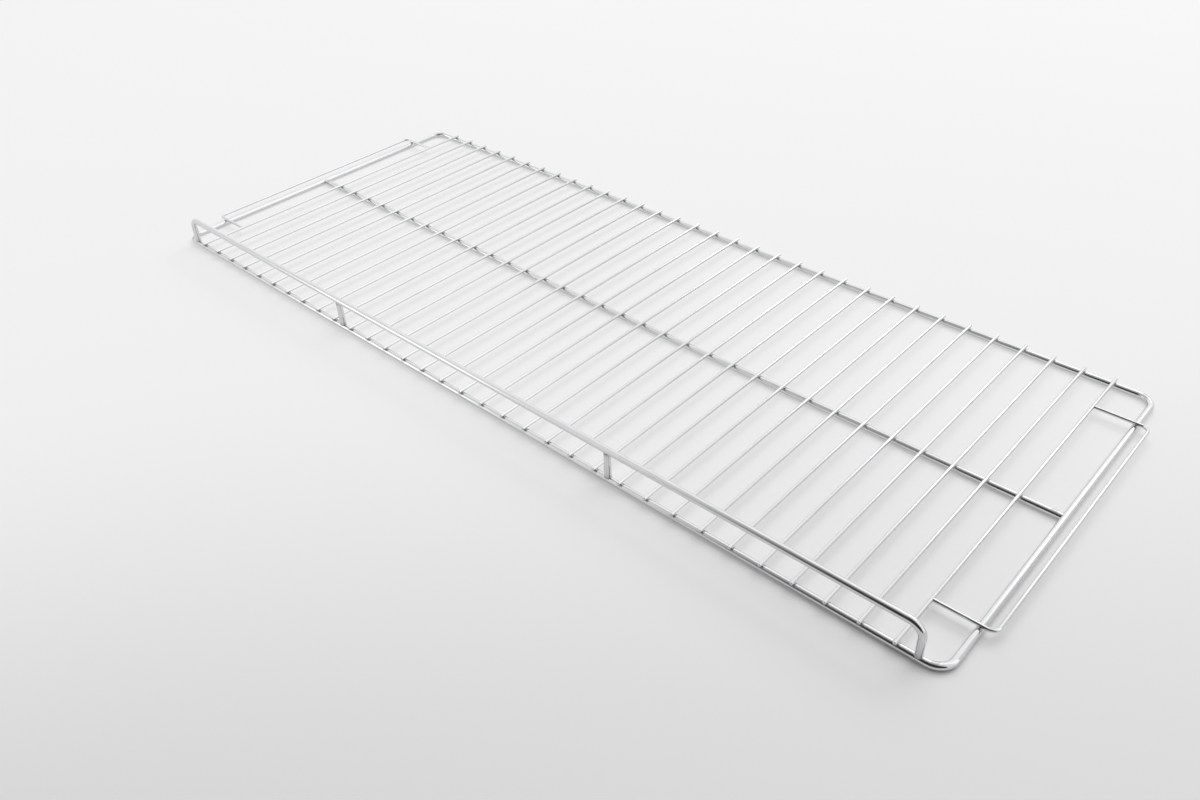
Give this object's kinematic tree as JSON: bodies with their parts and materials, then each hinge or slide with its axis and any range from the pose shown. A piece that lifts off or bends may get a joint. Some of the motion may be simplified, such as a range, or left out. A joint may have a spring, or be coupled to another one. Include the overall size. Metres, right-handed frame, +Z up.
{
  "type": "refrigerator shelf",
  "caption": "Welded wire shelf for a wide refrigerator: thin cross wires on a heavy rounded wire frame, a guard rail over the front edge and a resting loop on each side.",
  "frame": {"origin": "on the floor plane under the middle of the shelf, midway between its ends and between its front and rear", "axes": "+X along the shelf's length to the right as seen from its front, +Y from the guard rail to the rear, +Z up"},
  "size_m": [0.96, 0.382, 0.036],
  "materials": {
    "heavy_wire": "bright plated steel wire",
    "thin_wire": "bright plated steel wire"
  },
  "bodies": {
    "root": {"frame_ring": "heavy_wire", "middle_bar": "heavy_wire", "guard_rail": "heavy_wire", "guard_post_left": "heavy_wire", "guard_post_right": "heavy_wire", "cross_wire_01": "thin_wire", "cross_wire_02": "thin_wire", "cross_wire_03": "thin_wire", "cross_wire_04": "thin_wire", "cross_wire_05": "thin_wire", "cross_wire_06": "thin_wire", "cross_wire_07": "thin_wire", "cross_wire_08": "thin_wire", "cross_wire_09": "thin_wire", "cross_wire_10": "thin_wire", "cross_wire_11": "thin_wire", "cross_wire_12": "thin_wire", "cross_wire_13": "thin_wire", "cross_wire_14": "thin_wire", "cross_wire_15": "thin_wire", "cross_wire_16": "thin_wire", "cross_wire_17": "thin_wire", "cross_wire_18": "thin_wire", "cross_wire_19": "thin_wire", "cross_wire_20": "thin_wire", "cross_wire_21": "thin_wire", "cross_wire_22": "thin_wire", "cross_wire_23": "thin_wire", "cross_wire_24": "thin_wire", "cross_wire_25": "thin_wire", "cross_wire_26": "thin_wire", "cross_wire_27": "thin_wire", "cross_wire_28": "thin_wire", "cross_wire_29": "thin_wire", "cross_wire_30": "thin_wire", "cross_wire_31": "thin_wire", "cross_wire_32": "thin_wire", "cross_wire_33": "thin_wire", "side_loop_left": "thin_wire", "side_loop_right": "thin_wire"}
  },
  "joints": []
}
